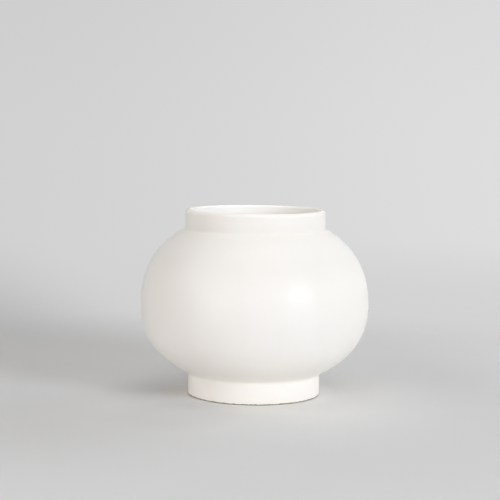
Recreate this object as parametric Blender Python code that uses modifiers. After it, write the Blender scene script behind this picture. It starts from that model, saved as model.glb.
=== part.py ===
"""A squat round vase of glazed stoneware, in the four pieces that are luted together before firing.

Two thrown bowls meet rim to rim at the widest ring. A straight collar stands on the stub of the neck,
and a foot ring carries the lower bowl. Metres, +Z up, with the origin on the vase's axis, on the ground.
"""

import math

import bpy
from mathutils import Vector

# Belly: each bowl is a quarter of a superellipse, turned about the axis
BELLY_RADIUS = 0.1000
LOWER_DEPTH = 0.0699  # from the widest ring down to the middle of the underside
LOWER_FULLNESS = 2.217  # 2 is an ellipse, and more is squarer
UPPER_RISE = 0.0800  # from the widest ring up to where the shoulder's curve would close
UPPER_FULLNESS = 2.266
WALL = 0.0045
FLOOR = 0.0070  # clay in the middle of the base

# Collar and neck
COLLAR_RADIUS = 0.0613
COLLAR_HEIGHT = 0.0163  # from the shoulder to the top of the lip
COLLAR_WALL = 0.0045
LIP_CREST = 0.7  # the lip is highest at this share of the wall, counted from outside
NECK_STUB = 0.0035  # how far the neck rises from the shoulder before the collar's seam
NECK_FILLET = 0.0022
THROAT_ROUND = 0.0020

# Foot ring
FOOT_RADIUS = 0.0578
FOOT_HEIGHT = 0.0195  # from the ground to the belly, on the outside
FOOT_WALL = 0.0070  # at the top, where it carries the bowl
FOOT_TAPER = 0.0012  # how much thinner the ring is at the ground, all of it on the inside
FOOT_OUTER_ROUND = 0.0010
FOOT_INNER_ROUND = 0.0015

# Luted seams
SLIP = 0.0003  # the film of liquid clay that holds each seam
KEY_SHARE = 0.5  # of the wall's width, taken by the ridge that centres one rim on the other
KEY_HEIGHT = 0.0016

# Glaze
GLAZE_ROUGHNESS = 0.45
COLLAR_COLOUR = (0.92, 0.90, 0.88)
UPPER_COLOUR = (0.91, 0.89, 0.87)
LOWER_COLOUR = (0.90, 0.88, 0.86)
FOOT_COLOUR = (0.88, 0.86, 0.83)

# Facets
TURN_STEPS = 72
OUTSIDE_STEPS = 15
INSIDE_STEPS = 11
SADDLE_STEPS = 3
ROUND_STEPS = 3
LIP_STEPS = 4
SHARP_ANGLE = math.radians(35)
WELD = 0.00001  # points this near the axis, or each other, become one

RIGHT_ANGLE = math.pi / 2
UP = 1
DOWN = -1


class Bulge:
    """A quarter of a superellipse, from its widest ring, at height 0, to the axis."""

    def __init__(self, radius, reach, fullness, way):
        self.radius = radius
        self.reach = reach
        self.fullness = fullness
        self.way = way

    def point(self, angle):
        """Radius and height, at an angle from 0 on the widest ring to a right angle on the axis."""
        power = 2 / self.fullness
        radius = self.radius * math.cos(angle) ** power
        height = self.way * self.reach * math.sin(angle) ** power
        return (radius, height)

    def points(self, start, end, steps):
        return [self.point(start + (end - start) * i / steps) for i in range(steps + 1)]

    def angle_at_radius(self, radius):
        return math.acos((radius / self.radius) ** (self.fullness / 2))

    def angle_at_reach(self, reach):
        return math.asin((reach / self.reach) ** (self.fullness / 2))

    def height_at(self, radius):
        return self.point(self.angle_at_radius(radius))[1]


# What the sizes above come to
LOWER_OUTSIDE = Bulge(BELLY_RADIUS, LOWER_DEPTH, LOWER_FULLNESS, DOWN)
LOWER_INSIDE = Bulge(BELLY_RADIUS - WALL, LOWER_DEPTH - FLOOR, LOWER_FULLNESS, DOWN)
UPPER_OUTSIDE = Bulge(BELLY_RADIUS, UPPER_RISE, UPPER_FULLNESS, UP)
UPPER_INSIDE = Bulge(BELLY_RADIUS - WALL, UPPER_RISE - WALL, UPPER_FULLNESS, UP)
THROAT_RADIUS = COLLAR_RADIUS - COLLAR_WALL
RIM_KEY_RADIUS = BELLY_RADIUS - WALL / 2
NECK_KEY_RADIUS = COLLAR_RADIUS - COLLAR_WALL / 2
EQUATOR_HEIGHT = FOOT_HEIGHT - LOWER_OUTSIDE.height_at(FOOT_RADIUS)
SHOULDER_RISE = UPPER_OUTSIDE.height_at(COLLAR_RADIUS)
NECK_SEAM_RISE = SHOULDER_RISE + NECK_STUB


def rounded(before, corner, after, radius):
    """The arc that rounds a corner, from the side of the point before it to that of the point after."""
    corner = Vector(corner)
    inward = (Vector(before) - corner).normalized()
    outward = (Vector(after) - corner).normalized()
    half_angle = inward.angle(outward) / 2
    centre = corner + (inward + outward).normalized() * radius / math.sin(half_angle)
    run = radius / math.tan(half_angle)
    first = (corner + inward * run - centre).normalized()
    last = (corner + outward * run - centre).normalized()
    return [tuple(centre + radius * first.slerp(last, i / ROUND_STEPS)) for i in range(ROUND_STEPS + 1)]


def ridge(radius, height, wall):
    """The raised key on a lower rim, from its inner to its outer side."""
    half = KEY_SHARE * wall / 2
    return [(radius - half, height), (radius, height + KEY_HEIGHT), (radius + half, height)]


def groove(radius, height, wall):
    """The groove in the rim above, a film of slip clear of the key, from its outer to its inner side."""
    half = KEY_SHARE * wall / 2
    depth = KEY_HEIGHT - SLIP + SLIP * math.hypot(half, KEY_HEIGHT) / half
    mouth = half * depth / KEY_HEIGHT
    return [(radius + mouth, height), (radius, height + depth), (radius - mouth, height)]


def foot_ring_outline():
    """Heights from the ground. The top is a saddle that follows the underside of the bowl."""
    inner_top = FOOT_RADIUS - FOOT_WALL
    saddle = []
    for i in range(SADDLE_STEPS + 1):
        radius = inner_top + FOOT_WALL * i / SADDLE_STEPS
        saddle.append((radius, EQUATOR_HEIGHT + LOWER_OUTSIDE.height_at(radius) - SLIP))
    outer_corner = (FOOT_RADIUS, 0)
    inner_corner = (inner_top + FOOT_TAPER, 0)
    outer_edge = rounded(saddle[-1], outer_corner, inner_corner, FOOT_OUTER_ROUND)
    inner_edge = rounded(outer_corner, inner_corner, saddle[0], FOOT_INNER_ROUND)
    return saddle + outer_edge + inner_edge


def lower_bowl_outline():
    """Heights from the widest ring: from the middle of the floor up to the rim, and down the outside."""
    rim = SLIP / 2
    inside = LOWER_INSIDE.points(RIGHT_ANGLE, LOWER_INSIDE.angle_at_reach(rim), INSIDE_STEPS)
    outside = LOWER_OUTSIDE.points(LOWER_OUTSIDE.angle_at_reach(rim), RIGHT_ANGLE, OUTSIDE_STEPS)
    return inside + ridge(RIM_KEY_RADIUS, -rim, WALL) + outside


def upper_bowl_outline():
    """Heights from the widest ring: across the neck's seat, down the outside, and up the inside."""
    rim = SLIP / 2
    seat = NECK_SEAM_RISE - SLIP / 2
    shoulder = UPPER_OUTSIDE.angle_at_radius(COLLAR_RADIUS + NECK_FILLET)
    outside = UPPER_OUTSIDE.points(shoulder, UPPER_OUTSIDE.angle_at_reach(rim), OUTSIDE_STEPS)
    throat = UPPER_INSIDE.angle_at_radius(THROAT_RADIUS + THROAT_ROUND)
    inside = UPPER_INSIDE.points(UPPER_INSIDE.angle_at_reach(rim), throat, INSIDE_STEPS)

    neck_outer = (COLLAR_RADIUS, seat)
    neck_inner = (THROAT_RADIUS, seat)
    neck_foot = (COLLAR_RADIUS, SHOULDER_RISE)
    throat_foot = (THROAT_RADIUS, UPPER_INSIDE.height_at(THROAT_RADIUS))
    top = [neck_inner] + ridge(NECK_KEY_RADIUS, seat, COLLAR_WALL) + [neck_outer]
    fillet = rounded(neck_outer, neck_foot, outside[0], NECK_FILLET)
    throat_edge = rounded(inside[-1], throat_foot, neck_inner, THROAT_ROUND)
    return top + fillet + outside + groove(RIM_KEY_RADIUS, rim, WALL) + inside + throat_edge


def neck_collar_outline():
    """Heights from the collar's seam. Two quarter rounds, the outer one the larger, make the lip."""
    seat = SLIP / 2
    lip = COLLAR_HEIGHT - NECK_STUB
    outer_round = LIP_CREST * COLLAR_WALL
    inner_round = COLLAR_WALL - outer_round
    crest = COLLAR_RADIUS - outer_round
    outline = []
    for i in range(LIP_STEPS):
        angle = RIGHT_ANGLE * i / LIP_STEPS
        outline.append((crest - inner_round * math.cos(angle), lip - inner_round * (1 - math.sin(angle))))
    for i in range(LIP_STEPS + 1):
        angle = RIGHT_ANGLE * i / LIP_STEPS
        outline.append((crest + outer_round * math.sin(angle), lip - outer_round * (1 - math.cos(angle))))
    outline.append((COLLAR_RADIUS, seat))
    return outline + groove(NECK_KEY_RADIUS, seat, COLLAR_WALL) + [(THROAT_RADIUS, seat)]


def glaze(name, colour):
    material = bpy.data.materials.new(name)
    material.use_nodes = True
    shader = material.node_tree.nodes["Principled BSDF"]
    shader.inputs["Base Color"].default_value = (*colour, 1)
    shader.inputs["Roughness"].default_value = GLAZE_ROUGHNESS
    shader.inputs["Metallic"].default_value = 0
    return material


def turned(name, outline, height, colour, parent):
    """One piece: its outline turned about the axis, with the outline's zero stood at a height."""
    closed = outline[0][0] > WELD
    count = len(outline)
    edges = [(i, (i + 1) % count) for i in range(count if closed else count - 1)]
    mesh = bpy.data.meshes.new(name + "_outline")
    mesh.from_pydata([(radius, 0, z) for radius, z in outline], edges, [])
    piece = bpy.data.objects.new(name, mesh)
    parent.users_collection[0].objects.link(piece)
    piece.parent = parent
    piece.location.z = height

    turn = piece.modifiers.new("Turn", "SCREW")
    turn.steps = TURN_STEPS
    turn.render_steps = TURN_STEPS
    turn.use_merge_vertices = True
    turn.merge_threshold = WELD
    shade_round(piece)
    piece.data.materials.append(glaze(name + "_glaze", colour))


def shade_round(piece):
    """Makes the turned surface the object's own mesh, smooth but for its real edges."""
    graph = bpy.context.evaluated_depsgraph_get()
    mesh = bpy.data.meshes.new_from_object(piece.evaluated_get(graph))
    mesh.name = piece.name
    mesh.shade_smooth()
    mesh.set_sharp_from_angle(angle=SHARP_ANGLE)
    outline = piece.data
    piece.modifiers.clear()
    piece.data = mesh
    bpy.data.meshes.remove(outline)


def main():
    for obj in list(bpy.data.objects):
        bpy.data.objects.remove(obj)
    collection = bpy.data.collections.new("round_vase")
    bpy.context.scene.collection.children.link(collection)
    vase = bpy.data.objects.new("vase", None)
    vase.empty_display_size = BELLY_RADIUS
    collection.objects.link(vase)

    turned("foot_ring", foot_ring_outline(), 0, FOOT_COLOUR, vase)
    turned("lower_bowl", lower_bowl_outline(), EQUATOR_HEIGHT, LOWER_COLOUR, vase)
    turned("upper_bowl", upper_bowl_outline(), EQUATOR_HEIGHT, UPPER_COLOUR, vase)
    neck_seam_height = EQUATOR_HEIGHT + NECK_SEAM_RISE
    turned("neck_collar", neck_collar_outline(), neck_seam_height, COLLAR_COLOUR, vase)


main()
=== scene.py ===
"""The looks of a squat round vase: four glazed pieces on the packed clay frame, in a round paper sweep."""

import math

import bpy
from mathutils import Matrix, Vector


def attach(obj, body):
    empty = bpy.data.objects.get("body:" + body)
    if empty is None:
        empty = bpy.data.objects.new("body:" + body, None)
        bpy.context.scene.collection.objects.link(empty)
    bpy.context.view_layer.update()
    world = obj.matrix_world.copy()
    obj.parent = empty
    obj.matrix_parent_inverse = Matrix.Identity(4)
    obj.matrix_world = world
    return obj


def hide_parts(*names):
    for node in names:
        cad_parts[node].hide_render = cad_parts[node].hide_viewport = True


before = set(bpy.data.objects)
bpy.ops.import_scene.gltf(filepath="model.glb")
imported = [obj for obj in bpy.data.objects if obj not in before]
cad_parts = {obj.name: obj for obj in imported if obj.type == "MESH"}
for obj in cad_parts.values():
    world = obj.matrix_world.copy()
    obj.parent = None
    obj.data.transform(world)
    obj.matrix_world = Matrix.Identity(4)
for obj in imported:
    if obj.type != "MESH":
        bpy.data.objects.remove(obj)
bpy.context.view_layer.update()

# The clay's sizes, in metres but for the two fullnesses and the crest
BELLY_RADIUS = 0.1000
LOWER_DEPTH = 0.0699  # from the widest ring down to where the lower curve meets the axis
LOWER_FULLNESS = 2.217  # the power of a superellipse: 2 is an ellipse, and more is fuller
UPPER_RISE = 0.0800
UPPER_FULLNESS = 2.266
WALL = 0.0045
FLOOR = 0.0070
COLLAR_RADIUS = 0.0613
COLLAR_HEIGHT = 0.0163  # above the shoulder
COLLAR_WALL = 0.0045
LIP_CREST = 0.7  # how far in from the outside the lip is highest, as a share of its wall
NECK_STUB = 0.0035  # how much of the collar's height the upper bowl carries
NECK_FILLET = 0.0022
THROAT_ROUND = 0.0020
FOOT_RADIUS = 0.0578
FOOT_HEIGHT = 0.0195  # up to where its outside meets the bowl
FOOT_WALL = 0.0070
FOOT_TAPER = 0.0012  # how much thinner the foot's wall is at the ground
FOOT_OUTER_ROUND = 0.0010
FOOT_INNER_ROUND = 0.0015

# What only the looks add, in metres
CREASE_ROUND = 0.0046  # glaze gathered in the corners between foot and bowl
TUCK = 0.00005  # how deep the foot's top is set into the bowl, so that no crack shows

# Fineness of the turned meshes
TURN_STEPS = 216
OUTSIDE_STEPS = 56
INSIDE_STEPS = 36
SADDLE_STEPS = 6
ROUND_STEPS = 6
LIP_STEPS = 9
SEAM_LAP = 0.00008  # the last short step before a seam, in metres, so that both sides shade alike
HOLD = 0.0003  # a loop this near each end of a straight run keeps its shading flat
TOUCH = 1e-6  # points this near each other are one
SHARP_ANGLE = math.radians(35)
RIGHT_ANGLE = math.pi / 2


def bulge(radius, reach, fullness, angle):
    """Radius and rise of a superellipse, from its widest ring at angle 0 to the axis at a right angle."""
    power = 2 / fullness
    return (radius * math.cos(angle) ** power, reach * math.sin(angle) ** power)


def angle_at_radius(radius, fullness, at):
    return math.acos((at / radius) ** (fullness / 2))


def angle_at_reach(reach, fullness, at):
    return math.asin((at / reach) ** (fullness / 2))


def underside_drop(radius):
    """How far below the widest ring the bowl's outside lies at a radius."""
    angle = angle_at_radius(BELLY_RADIUS, LOWER_FULLNESS, radius)
    return bulge(BELLY_RADIUS, LOWER_DEPTH, LOWER_FULLNESS, angle)[1]


EQUATOR = FOOT_HEIGHT + underside_drop(FOOT_RADIUS)
THROAT_RADIUS = COLLAR_RADIUS - COLLAR_WALL
SHOULDER_ANGLE = angle_at_radius(BELLY_RADIUS, UPPER_FULLNESS, COLLAR_RADIUS)
SHOULDER = EQUATOR + bulge(BELLY_RADIUS, UPPER_RISE, UPPER_FULLNESS, SHOULDER_ANGLE)[1]
NECK_SEAM = SHOULDER + NECK_STUB
LIP_TOP = SHOULDER + COLLAR_HEIGHT


def wall_curve(radius, reach, fullness):
    """One side of a bowl's wall, by angle: up from the widest ring, or down where the reach is below 0."""
    def point(angle):
        out, rise = bulge(radius, reach, fullness, angle)
        return (out, EQUATOR + rise)
    return point


lower_outside = wall_curve(BELLY_RADIUS, -LOWER_DEPTH, LOWER_FULLNESS)
lower_inside = wall_curve(BELLY_RADIUS - WALL, FLOOR - LOWER_DEPTH, LOWER_FULLNESS)
upper_outside = wall_curve(BELLY_RADIUS, UPPER_RISE, UPPER_FULLNESS)
upper_inside = wall_curve(BELLY_RADIUS - WALL, UPPER_RISE - WALL, UPPER_FULLNESS)


def swept(curve, start, end, steps):
    return [curve(start + (end - start) * i / steps) for i in range(steps + 1)]


def rounded(before, corner, after, radius):
    """The arc that rounds a corner, from the side of the point before it to that of the point after."""
    corner = Vector(corner)
    inward = (Vector(before) - corner).normalized()
    outward = (Vector(after) - corner).normalized()
    half_angle = inward.angle(outward) / 2
    centre = corner + (inward + outward).normalized() * radius / math.sin(half_angle)
    run = radius / math.tan(half_angle)
    first = (corner + inward * run - centre).normalized()
    last = (corner + outward * run - centre).normalized()
    return [tuple(centre + radius * first.slerp(last, i / ROUND_STEPS)) for i in range(ROUND_STEPS + 1)]


def held(start, end):
    """Two points on the straight run between two others, each close to its end."""
    start = Vector(start)
    end = Vector(end)
    step = (end - start).normalized() * HOLD
    return [tuple(start + step), tuple(end - step)]


def under_bowl(radius):
    return (radius, EQUATOR - underside_drop(radius) + TUCK)


def foot_ring_outline():
    inner_top = FOOT_RADIUS - FOOT_WALL
    outer_crease = under_bowl(FOOT_RADIUS)
    inner_crease = under_bowl(inner_top)
    outer_corner = (FOOT_RADIUS, 0)
    inner_corner = (inner_top + FOOT_TAPER, 0)
    outer_fill = rounded(under_bowl(FOOT_RADIUS + CREASE_ROUND), outer_crease, outer_corner, CREASE_ROUND)
    outer_edge = rounded(outer_crease, outer_corner, inner_corner, FOOT_OUTER_ROUND)
    inner_edge = rounded(outer_corner, inner_corner, inner_crease, FOOT_INNER_ROUND)
    inner_fill = rounded(inner_corner, inner_crease, under_bowl(inner_top - CREASE_ROUND), CREASE_ROUND)
    start = inner_fill[-1][0]
    width = outer_fill[0][0] - start
    saddle = [under_bowl(start + width * i / SADDLE_STEPS) for i in range(1, SADDLE_STEPS)]
    outer_side = held(outer_fill[-1], outer_edge[0])
    landing = held(outer_edge[-1], inner_edge[0])
    inner_side = held(inner_edge[-1], inner_fill[0])
    return saddle + outer_fill + outer_side + outer_edge + landing + inner_edge + inner_side + inner_fill


def lower_bowl_outline():
    inside_lap = angle_at_reach(LOWER_DEPTH - FLOOR, LOWER_FULLNESS, SEAM_LAP)
    outside_lap = angle_at_reach(LOWER_DEPTH, LOWER_FULLNESS, SEAM_LAP)
    inside = swept(lower_inside, RIGHT_ANGLE, inside_lap, INSIDE_STEPS)
    outside = swept(lower_outside, outside_lap, RIGHT_ANGLE, OUTSIDE_STEPS)
    return inside + [lower_inside(0), lower_outside(0)] + outside


def upper_bowl_outline():
    shoulder = angle_at_radius(BELLY_RADIUS, UPPER_FULLNESS, COLLAR_RADIUS + NECK_FILLET)
    throat = angle_at_radius(BELLY_RADIUS - WALL, UPPER_FULLNESS, THROAT_RADIUS + THROAT_ROUND)
    corner = angle_at_radius(BELLY_RADIUS - WALL, UPPER_FULLNESS, THROAT_RADIUS)
    outside_lap = angle_at_reach(UPPER_RISE, UPPER_FULLNESS, SEAM_LAP)
    inside_lap = angle_at_reach(UPPER_RISE - WALL, UPPER_FULLNESS, SEAM_LAP)
    outside = swept(upper_outside, shoulder, outside_lap, OUTSIDE_STEPS)
    inside = swept(upper_inside, inside_lap, throat, INSIDE_STEPS)
    neck_outer = (COLLAR_RADIUS, NECK_SEAM)
    neck_inner = (THROAT_RADIUS, NECK_SEAM)
    fillet = rounded(neck_outer, (COLLAR_RADIUS, SHOULDER), outside[0], NECK_FILLET)
    throat_edge = rounded(inside[-1], (THROAT_RADIUS, upper_inside(corner)[1]), neck_inner, THROAT_ROUND)
    outer_side = [neck_outer] + held(neck_outer, fillet[0]) + fillet
    inner_side = throat_edge + held(throat_edge[-1], neck_inner)
    return [neck_inner] + outer_side + outside + [upper_outside(0), upper_inside(0)] + inside + inner_side


def neck_collar_outline():
    outer_round = LIP_CREST * COLLAR_WALL
    inner_round = COLLAR_WALL - outer_round
    crest = COLLAR_RADIUS - outer_round
    lip = []
    for i in range(LIP_STEPS):
        angle = RIGHT_ANGLE * i / LIP_STEPS
        lip.append((crest - inner_round * math.cos(angle), LIP_TOP - inner_round * (1 - math.sin(angle))))
    for i in range(LIP_STEPS + 1):
        angle = RIGHT_ANGLE * i / LIP_STEPS
        lip.append((crest + outer_round * math.sin(angle), LIP_TOP - outer_round * (1 - math.cos(angle))))
    outer_seat = (COLLAR_RADIUS, NECK_SEAM)
    inner_seat = (THROAT_RADIUS, NECK_SEAM)
    return lip + held(lip[-1], outer_seat) + [outer_seat, inner_seat] + held(inner_seat, lip[0])


def turned(name, outline, steps=TURN_STEPS):
    """Turns points of radius and height about the axis. The outline closes unless it starts on the axis."""
    points = []
    for point in outline:
        if not points or (Vector(point) - Vector(points[-1])).length > TOUCH:
            points.append(point)
    verts = []
    rings = []
    for radius, height in points:
        if radius < TOUCH:
            rings.append([len(verts)] * steps)
            verts.append((0, 0, height))
            continue
        rings.append([len(verts) + i for i in range(steps)])
        for i in range(steps):
            angle = 2 * math.pi * i / steps
            verts.append((radius * math.cos(angle), radius * math.sin(angle), height))
    if points[0][0] > TOUCH:
        rings.append(rings[0])
    faces = []
    for ring, following in zip(rings, rings[1:]):
        for i in range(steps):
            j = (i + 1) % steps
            corners = (ring[i], following[i], following[j], ring[j])
            faces.append(tuple(dict.fromkeys(corners)))
    mesh = bpy.data.meshes.new(name)
    mesh.from_pydata(verts, [], faces)
    mesh.shade_smooth()
    mesh.set_sharp_from_angle(angle=SHARP_ANGLE)
    piece = bpy.data.objects.new(name, mesh)
    bpy.context.scene.collection.objects.link(piece)
    return piece


def opaque(colour):
    """A colour of three numbers gets a fourth, and a socket stays as it is."""
    return (*colour, 1) if isinstance(colour, tuple) else colour


class Nodes:
    """A node tree, with one call for each node."""

    def __init__(self, tree):
        self.tree = tree
        self.tree.nodes.clear()

    def add(self, kind, inputs, **settings):
        node = self.tree.nodes.new(kind)
        for name, value in settings.items():
            setattr(node, name, value)
        for name, value in inputs.items():
            if isinstance(value, bpy.types.NodeSocket):
                self.tree.links.new(value, node.inputs[name])
            else:
                node.inputs[name].default_value = value
        return node

    def number(self, operation, *numbers):
        inputs = dict(enumerate(numbers))
        return self.add("ShaderNodeMath", inputs, operation=operation).outputs["Value"]

    def vector(self, operation, *vectors):
        inputs = dict(enumerate(vectors))
        return self.add("ShaderNodeVectorMath", inputs, operation=operation).outputs["Vector"]

    def measure(self, operation, *vectors):
        """A number worked out from vectors."""
        inputs = dict(enumerate(vectors))
        return self.add("ShaderNodeVectorMath", inputs, operation=operation).outputs["Value"]

    def sum(self, *values):
        total = values[0]
        for value in values[1:]:
            total = self.number("ADD", total, value)
        return total

    def product(self, one, other):
        return self.number("MULTIPLY", one, other)

    def seen(self):
        """1 for a ray that looks, straight or by way of the glaze, and 0 for one that gathers light."""
        ray = self.add("ShaderNodeLightPath", {}).outputs
        return self.sum(ray["Is Camera Ray"], ray["Is Glossy Ray"], ray["Is Transmission Ray"])


class Shading(Nodes):
    """A material's nodes."""

    MIX_ONE = 6  # a mix node has four pairs of inputs, and this pair holds the colours
    MIX_OTHER = 7
    MIX_RESULT = 2

    def __init__(self, name):
        self.material = bpy.data.materials.new(name)
        self.material.use_nodes = True
        super().__init__(self.material.node_tree)
        coordinates = self.add("ShaderNodeTexCoord", {}).outputs
        self.place = coordinates["Object"]
        self.normal = coordinates["Normal"]
        parts = self.add("ShaderNodeSeparateXYZ", {"Vector": self.place}).outputs
        self.x = parts["X"]
        self.y = parts["Y"]
        self.height = parts["Z"]

    def noise(self, scale, detail, stretch=(1, 1, 1)):
        place = self.vector("MULTIPLY", self.place, stretch)
        inputs = {"Vector": place, "Scale": scale, "Detail": detail}
        return self.add("ShaderNodeTexNoise", inputs).outputs["Fac"]

    def ramp(self, value, low, high, to_low=0.0, to_high=1.0):
        """A smooth step of a value from one range to another."""
        inputs = {"Value": value, "From Min": low, "From Max": high, "To Min": to_low, "To Max": to_high}
        return self.add("ShaderNodeMapRange", inputs, interpolation_type="SMOOTHSTEP").outputs["Result"]

    def fall(self, value, low, high):
        """A smooth step down, from 1 to 0."""
        return self.ramp(value, low, high, 1.0, 0.0)

    def mix(self, share, one, other):
        inputs = {0: share, self.MIX_ONE: opaque(one), self.MIX_OTHER: opaque(other)}
        return self.add("ShaderNodeMix", inputs, data_type="RGBA").outputs[self.MIX_RESULT]

    def facing(self, centre):
        """How far the surface faces away from a point, from -1, towards it, to 1."""
        away = self.vector("NORMALIZE", self.vector("SUBTRACT", self.place, centre))
        return self.measure("DOT_PRODUCT", away, self.normal)

    def along(self, direction):
        """How far a place lies from the origin in a direction."""
        return self.measure("DOT_PRODUCT", self.place, direction)

    def near(self, centre, inner, outer):
        """1 within the inner distance of a place, and down to 0 at the outer."""
        return self.fall(self.measure("DISTANCE", self.place, centre), inner, outer)

    def bump(self, height, depth, under=None):
        inputs = {"Height": height, "Distance": depth}
        if under:
            inputs["Normal"] = under
        return self.add("ShaderNodeBump", inputs).outputs["Normal"]

    def surface(self, colour, roughness, normal, specular, glow=None, share=0):
        inputs = {
            "Base Color": colour,
            "Roughness": roughness,
            "Normal": normal,
            "Specular IOR Level": specular,
        }
        surface = self.add("ShaderNodeBsdfPrincipled", inputs).outputs[0]
        if glow:
            surface = self.add("ShaderNodeMixShader", {0: share, 1: surface, 2: glow}).outputs[0]
        self.add("ShaderNodeOutputMaterial", {"Surface": surface})
        return self.material


# Noise, as scale, detail and, for some, how much it varies along each axis
CLOUDS = (15, 3)
FLOW = (75, 2, (1, 1, 0.16))  # drawn out down the wall
RINGS = (190, 2, (0.03, 0.03, 1))  # drawn out round the wall, as throwing leaves them
PEEL = (430, 2)  # dimples, as on an orange
GRAIN = (2600, 1)  # of the bare clay
FIBRES = (900, 3)  # of the paper
MOTTLE = (9, 2)  # of the paper
NOISE_RANGE = (0.3, 0.7)  # most of a noise's values lie in here

# The glaze's colours
GLAZE_WARM = (0.898, 0.864, 0.820)
GLAZE_COOL = (0.902, 0.873, 0.834)
GLAZE_INSIDE_PAINTED_LIGHT = (0.970, 0.950, 0.925)  # painted light: lighter inside and on the lip's crest, standing in for light in the mouth
GLAZE_LOW_PAINTED_LIGHT = (0.946, 0.908, 0.860)  # painted light: lighter low on the belly and on the foot, standing in for light from below
GLAZE_SHOULDER_PAINTED_LIGHT = (0.962, 0.930, 0.888)  # painted light: lighter on the shoulder, standing in for light from above
GLAZE_CREASE_PAINTED_LIGHT = (0.985, 0.950, 0.885)  # painted light: lighter in the crease above the foot, lifting the shade there
GLAZE_COLLAR_PAINTED_SHADE = (0.847, 0.814, 0.774)  # painted shade: darker on the collar, which the lamps light too brightly
GLAZE_THIN = (0.800, 0.735, 0.650)  # over an edge, where the clay shows through
CLOUD_SHARE = 0.7
FLOW_SHARE = 0.3
TONE_RANGE = (0.35, 0.65)

# Heights between which each colour begins or ends, in metres
LOW_LIGHT_ENDS = (EQUATOR - 0.050, EQUATOR - 0.005)
SHOULDER_LIGHT_BEGINS = (SHOULDER - 0.028, SHOULDER - 0.008)
SHOULDER_LIGHT_ENDS = (SHOULDER - 0.001, SHOULDER + 0.003)
CREASE_BEGINS = (FOOT_HEIGHT - 0.0040, FOOT_HEIGHT - 0.0010)
CREASE_ENDS = (FOOT_HEIGHT + 0.0015, FOOT_HEIGHT + 0.0070)
COLLAR_BEGINS = (SHOULDER - 0.0010, SHOULDER + 0.0010)
CREST_BEGINS = (LIP_TOP - 0.0012, LIP_TOP - 0.0002)
CREST_SHARE = 0.6  # how far the crest takes the painted light on
LIP_BEGINS = (LIP_TOP - 0.0010, LIP_TOP - 0.0001)
TOE_ENDS = (0.0012, 0.0030)
LANDING_ENDS = (0.0007, 0.0010)
LANDING_WAVER = (-0.0002, 0.0002)  # how unevenly the bare clay ends

# How the glaze shines and wears
GLAZE_ROUGHNESS = 0.33
CLOUD_ROUGHNESS = (-0.018, 0.018)
PEEL_ROUGHNESS = (-0.012, 0.012)
WORN_ROUGHNESS = 0.15
GLAZE_SPECULAR = 0.22
WORN_FLOW = (0.40, 0.62)  # where the flow is strong, the edges wear through more
WORN_SHARE = (0.06, 0.22)
INSIDE_FACING = (-0.45, 0.05)  # the inside faces the belly's middle
RING_DEPTH = 0.00002
PEEL_DEPTH = 0.000006

# Bare clay, on the ring that the vase stands on, painted darker as the contact shade under the foot
SHADED_CLAY_DARK = (0.2392, 0.1748, 0.1288)
SHADED_CLAY_LIGHT = (0.2808, 0.2052, 0.1512)
CLAY_ROUGHNESS = 0.85
CLAY_DEPTH = 0.0002


def glaze(name, bare_landing=False):
    shading = Shading(name)
    height = shading.height
    clouds = shading.noise(*CLOUDS)
    flow = shading.noise(*FLOW)
    rings = shading.noise(*RINGS)
    peel = shading.noise(*PEEL)

    tone = shading.sum(shading.product(clouds, CLOUD_SHARE), shading.product(flow, FLOW_SHARE))
    colour = shading.mix(shading.ramp(tone, *TONE_RANGE), GLAZE_WARM, GLAZE_COOL)
    # painted light: the colour grows lighter low on the belly and on the foot
    colour = shading.mix(shading.fall(height, *LOW_LIGHT_ENDS), colour, GLAZE_LOW_PAINTED_LIGHT)
    # painted light on the shoulder
    shoulder_light = shading.product(shading.ramp(height, *SHOULDER_LIGHT_BEGINS), shading.fall(height, *SHOULDER_LIGHT_ENDS))
    colour = shading.mix(shoulder_light, colour, GLAZE_SHOULDER_PAINTED_LIGHT)
    # painted light in the crease above the foot
    crease = shading.product(shading.ramp(height, *CREASE_BEGINS), shading.fall(height, *CREASE_ENDS))
    colour = shading.mix(crease, colour, GLAZE_CREASE_PAINTED_LIGHT)
    # painted shade on the collar
    colour = shading.mix(shading.ramp(height, *COLLAR_BEGINS), colour, GLAZE_COLLAR_PAINTED_SHADE)
    # painted light on the inside faces
    inside = shading.fall(shading.facing((0, 0, EQUATOR)), *INSIDE_FACING)
    colour = shading.mix(inside, colour, GLAZE_INSIDE_PAINTED_LIGHT)
    # painted light on the lip's crest
    crest = shading.product(shading.ramp(height, *CREST_BEGINS), CREST_SHARE)
    colour = shading.mix(crest, colour, GLAZE_INSIDE_PAINTED_LIGHT)
    edges = shading.sum(shading.ramp(height, *LIP_BEGINS), shading.fall(height, *TOE_ENDS))
    worn = shading.product(edges, shading.ramp(flow, *WORN_FLOW, *WORN_SHARE))
    colour = shading.mix(worn, colour, GLAZE_THIN)

    roughness = shading.sum(shading.ramp(clouds, *NOISE_RANGE, *CLOUD_ROUGHNESS),
                            shading.ramp(peel, *NOISE_RANGE, *PEEL_ROUGHNESS),
                            shading.product(worn, WORN_ROUGHNESS), GLAZE_ROUGHNESS)
    normal = shading.bump(peel, PEEL_DEPTH, shading.bump(rings, RING_DEPTH))

    # real bare clay, its colour darkened as painted contact shade under the foot
    if bare_landing:
        edge = shading.sum(height, shading.ramp(peel, *NOISE_RANGE, *LANDING_WAVER))
        bare = shading.fall(edge, *LANDING_ENDS)
        grain = shading.noise(*GRAIN)
        colour = shading.mix(bare, colour, shading.mix(grain, SHADED_CLAY_DARK, SHADED_CLAY_LIGHT))
        roughness = shading.sum(roughness, shading.product(bare, CLAY_ROUGHNESS - GLAZE_ROUGHNESS))
        normal = shading.bump(shading.product(grain, bare), CLAY_DEPTH, normal)
    return shading.surface(colour, roughness, normal, GLAZE_SPECULAR)


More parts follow.
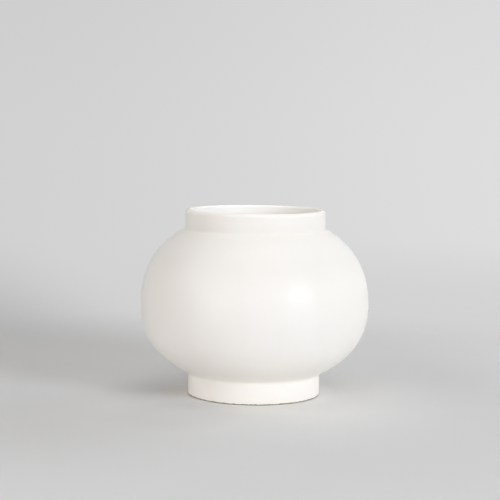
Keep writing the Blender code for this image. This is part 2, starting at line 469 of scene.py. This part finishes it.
# The four pieces: name, outline, material, the node it replaces and its slot
BODY_GLAZE = glaze("satin_white_glaze")
FOOT_GLAZE = glaze("foot_glaze_with_bare_landing", bare_landing=True)
PIECES = (
    ("foot_ring_glazed", foot_ring_outline(), FOOT_GLAZE, "foot_ring", "foot_glaze"),
    ("lower_bowl_glazed", lower_bowl_outline(), BODY_GLAZE, "lower_bowl", "body_glaze"),
    ("upper_bowl_glazed", upper_bowl_outline(), BODY_GLAZE, "upper_bowl", "body_glaze"),
    ("neck_collar_glazed", neck_collar_outline(), BODY_GLAZE, "neck_collar", "body_glaze"),
)
for name, outline, material, node, slot in PIECES:
    piece = turned(name, outline)
    piece.data.materials.append(material)
    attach(piece, "root")
    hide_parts(node)

# The round paper sweep: a flat floor that curves up into a low wall all round, in metres
SWEEP_FLAT = 1.5
SWEEP_CURVE = 0.5
SWEEP_TOP = 0.95
SWEEP_STEPS = 24
SWEEP_TURN_STEPS = 96

# The paper near the vase, which the lamps light, with painted light in its colour: lighter on the left and
# behind on the right
PAPER_LEFT = (0.84, 0.84, 0.84)
PAPER_RIGHT = (0.785, 0.785, 0.785)
SIDE_HALF = 0.30  # how far the change from left to right reaches on each side
PAPER_BEHIND = (0.94, 0.94, 0.94)  # painted light on the right, behind the vase, where the lamps fall off
BEHIND_RANGE = (-0.12, 0.25)  # along Y
PAPER_GLEAM = (0.872, 0.860, 0.838)  # a painted pool of light in front of the foot, standing in for the key's light that the foot throws back
GLEAM_PLACE = (0.014, -0.064, 0)
GLEAM_REACH = (0.012, 0.048)
PAPER_DULL = (0.768, 0.768, 0.768)  # a painted shade at the front left, away from the key
DULL_PLACE = (-0.066, -0.106, 0)
DULL_REACH = (0.022, 0.070)
PAPER_SPECK = (0.50, 0.50, 0.50)
SPECK_SHARE = 0.03
MOTTLE_SHARE = 0.6
FIBRE_SHARE = 0.4
PAPER_ROUGHNESS = 0.9
PAPER_SPECULAR = 0.2
FIBRE_DEPTH = 0.0001

# The paper farther off glows with a colour of its own, painted light that is darker on the left and higher
# up
FADE_RANGE = (0.24, 0.57)  # the distance from the origin over which its own colour takes over
PALE_LEFT = (0.640, 0.640, 0.640)
PALE_RIGHT_NEAR = (0.655, 0.655, 0.655)
PALE_RIGHT = (0.728, 0.728, 0.728)
PALE_HALF = 0.60  # how far the change from left to right reaches on each side
PALE_RANGE = (0.55, 1.70)  # the distance from the origin over which the near right goes over into the right
PALE_ABOVE = (0.665, 0.665, 0.665)  # above the sweep, which only the glaze and the other views show
PALE_TOP = 0.96  # what is left of its strength high up, as painted darkening
TOP_RANGE = (0.15, 0.60)  # in height
SHADE_ALONG = (-0.736, 0.677, 0)  # the way the key's shadow falls
SHADE_ACROSS = (0.677, 0.736, 0)
SHADE_DEPTH = 0.30  # how much darker the painted shadow makes the glow
SHADE_SLANT = (0.09, 0.67)  # its soft edge, as distance across the shadow for each metre along it
SHADE_BEGINS = (0.05, 0.25)  # along the shadow, from the origin
SHADE_ENDS = (0.90, 1.60)


def paper():
    shading = Shading("pale_paper")
    fibres = shading.noise(*FIBRES)
    mottle = shading.noise(*MOTTLE)

    # painted light: the paper lighter behind on the right and on the left
    right = shading.mix(shading.ramp(shading.y, *BEHIND_RANGE), PAPER_RIGHT, PAPER_BEHIND)
    colour = shading.mix(shading.ramp(shading.x, -SIDE_HALF, SIDE_HALF), PAPER_LEFT, right)
    # painted shade at the front left
    colour = shading.mix(shading.near(DULL_PLACE, *DULL_REACH), colour, PAPER_DULL)
    # painted pool of light in front of the foot
    colour = shading.mix(shading.near(GLEAM_PLACE, *GLEAM_REACH), colour, PAPER_GLEAM)
    speck = shading.sum(shading.product(mottle, MOTTLE_SHARE), shading.product(fibres, FIBRE_SHARE))
    speck = shading.product(shading.ramp(speck, *NOISE_RANGE), SPECK_SHARE)
    colour = shading.mix(speck, colour, PAPER_SPECK)

    distance = shading.measure("LENGTH", shading.place)
    # painted light: the glow darker on the left and lighter far off on the right
    pale_right = shading.mix(shading.ramp(distance, *PALE_RANGE), PALE_RIGHT_NEAR, PALE_RIGHT)
    pale = shading.mix(shading.ramp(shading.x, -PALE_HALF, PALE_HALF), PALE_LEFT, pale_right)
    # a painted shadow of the vase, along the way the key's shadow falls
    along = shading.along(SHADE_ALONG)
    across = shading.number("ABSOLUTE", shading.along(SHADE_ACROSS))
    painted_shadow = shading.product(shading.ramp(along, *SHADE_BEGINS), shading.fall(along, *SHADE_ENDS))
    slant = shading.number("DIVIDE", across, along)
    painted_shadow = shading.product(painted_shadow, shading.ramp(slant, *SHADE_SLANT, -SHADE_DEPTH, 0.0))
    # painted darkening higher up
    painted_fade_upward = shading.ramp(shading.height, *TOP_RANGE, 1.0, PALE_TOP)
    strength = shading.product(painted_fade_upward, shading.sum(painted_shadow, 1.0))
    glow = shading.add("ShaderNodeEmission", {"Color": pale, "Strength": strength}).outputs[0]
    share = shading.product(shading.seen(), shading.ramp(distance, *FADE_RANGE))
    normal = shading.bump(fibres, FIBRE_DEPTH)
    return shading.surface(colour, PAPER_ROUGHNESS, normal, PAPER_SPECULAR, glow, share)


def sweep_outline():
    outline = [(SWEEP_FLAT * i / SWEEP_STEPS, 0) for i in range(SWEEP_STEPS + 1)]
    for i in range(1, SWEEP_STEPS + 1):
        angle = RIGHT_ANGLE * i / SWEEP_STEPS
        outline.append((SWEEP_FLAT + SWEEP_CURVE * math.sin(angle), SWEEP_CURVE * (1 - math.cos(angle))))
    return outline + [(SWEEP_FLAT + SWEEP_CURVE, SWEEP_TOP)]


sweep = turned("paper_sweep", sweep_outline(), SWEEP_TURN_STEPS)
sweep.data.materials.append(paper())

# The camera, as the photo's outline places it
CAMERA_PLACE = (0.0, -1.3243, 0.2541)
CAMERA_LENS = 109.20  # mm
CAMERA_SENSOR = 36.0  # mm wide
CAMERA_PITCH = math.radians(5.492)  # it looks down
CAMERA_YAW = math.radians(-0.191)  # it looks a little towards -X
CAMERA_ROLL = math.radians(0.607)  # what lies to the right shows lower


def place_camera():
    forward = Vector((math.sin(CAMERA_YAW) * math.cos(CAMERA_PITCH),
                      math.cos(CAMERA_YAW) * math.cos(CAMERA_PITCH),
                      -math.sin(CAMERA_PITCH)))
    level = Vector((math.cos(CAMERA_YAW), -math.sin(CAMERA_YAW), 0))
    upright = level.cross(forward)
    right = level * math.cos(CAMERA_ROLL) + upright * math.sin(CAMERA_ROLL)
    up = upright * math.cos(CAMERA_ROLL) - level * math.sin(CAMERA_ROLL)
    turn = Matrix((right, up, -forward)).transposed().to_4x4()
    data = bpy.data.cameras.new("camera")
    data.lens = CAMERA_LENS
    data.sensor_width = CAMERA_SENSOR
    data.sensor_fit = "HORIZONTAL"
    camera = bpy.data.objects.new("camera", data)
    bpy.context.scene.collection.objects.link(camera)
    camera.matrix_world = Matrix.Translation(CAMERA_PLACE) @ turn
    bpy.context.scene.camera = camera


place_camera()


def aimed_lamp(name, kind, target, azimuth, elevation, distance, power, colour):
    """A lamp that shines on a target from a direction, given in degrees."""
    turn = math.radians(azimuth)
    lift = math.radians(elevation)
    away = Vector((math.sin(turn) * math.cos(lift), -math.cos(turn) * math.cos(lift), math.sin(lift)))
    data = bpy.data.lights.new(name, kind)
    data.energy = power
    data.color = colour
    lamp = bpy.data.objects.new(name, data)
    bpy.context.scene.collection.objects.link(lamp)
    place = Matrix.Translation(target + away * distance)
    lamp.matrix_world = place @ away.to_track_quat("Z", "Y").to_matrix().to_4x4()
    return lamp


# Lamps: name, degrees right of the camera's side, degrees up, distance, width, height, watts, colour
LAMPS = (
    ("key", 44.5, 14.3, 1.6, 0.48, 0.48, 11.5, (0.86, 0.92, 1.00)),
    ("second", -34, 10, 1.6, 0.90, 0.45, 6.0, (1.00, 0.97, 0.97)),
    ("left", -68, 35, 2.2, 1.60, 1.10, 7.8, (1.00, 0.96, 0.90)),
    ("right", 70, 30, 2.2, 1.40, 1.00, 3.7, (1.00, 0.92, 0.80)),
    ("rear", 135, 25, 2.2, 1.40, 1.00, 12.4, (0.95, 0.97, 1.00)),
    ("edge", 115, 8, 1.8, 1.00, 0.40, 4.5, (1.00, 0.99, 0.92)),
    ("top", 30, 70, 2.0, 1.20, 1.20, 4.7, (1.00, 0.90, 0.72)),
    ("overhead", 0, 88, 2.0, 1.80, 1.80, 8.3, (0.87, 0.92, 1.00)),
)
GLOSSY = ("key", "second", "left", "top", "overhead")  # the lamps that show in the glaze
AIM = Vector((0, 0, 0.08))  # near the belly's middle
for name, azimuth, elevation, distance, width, height, power, colour in LAMPS:
    lamp = aimed_lamp(name, "AREA", AIM, azimuth, elevation, distance, power, colour)
    lamp.data.shape = "RECTANGLE"
    lamp.data.size = width
    lamp.data.size_y = height
    lamp.visible_camera = False
    lamp.visible_glossy = name in GLOSSY

# Narrow lamps over the mouth: name, degrees right, degrees up, reach, softness, watts, colour, collar alone
SPOTS = (
    ("mouth", 0, 90, 0.054, 0.4, 20.0, (1.00, 1.00, 1.00), False),  # down into the belly
    ("collar_inside", 24, 60, 0.048, 0.15, 42.0, (1.00, 0.97, 0.93), True),  # slanting in, far left
    ("collar_inside_right", -60, 50, 0.045, 0.15, 14.5, (1.00, 0.91, 0.79), True),  # slanting in, far right
    ("lip", 0, 90, 0.070, 0.2, 1.5, (1.00, 0.99, 0.97), True),  # down on the lip
)
SPOT_DISTANCE = 1.2  # from here each spot's reach is the radius that it lights at the mouth
SPOT_SIZE = 0.02
THROAT = Vector((0, 0, LIP_TOP))
collar_alone = bpy.data.collections.new("collar_alone")
collar_alone.objects.link(bpy.data.objects["neck_collar_glazed"])
for name, azimuth, elevation, reach, softness, power, colour, is_alone in SPOTS:
    lamp = aimed_lamp(name, "SPOT", THROAT, azimuth, elevation, SPOT_DISTANCE, power, colour)
    lamp.data.spot_size = 2 * math.atan(reach / SPOT_DISTANCE)
    lamp.data.spot_blend = softness
    lamp.data.shadow_soft_size = SPOT_SIZE
    if is_alone:
        lamp.light_linking.receiver_collection = collar_alone

# The world above the sweep, which shows, in the glaze too, but lights nothing
world = bpy.data.worlds.new("world")
bpy.context.scene.world = world
world.use_nodes = True
sky = Nodes(world.node_tree)
background = sky.add("ShaderNodeBackground", {"Color": opaque(PALE_ABOVE), "Strength": sky.seen()})
sky.add("ShaderNodeOutputWorld", {"Surface": background.outputs[0]})

bpy.context.scene.view_settings.view_transform = "Standard"
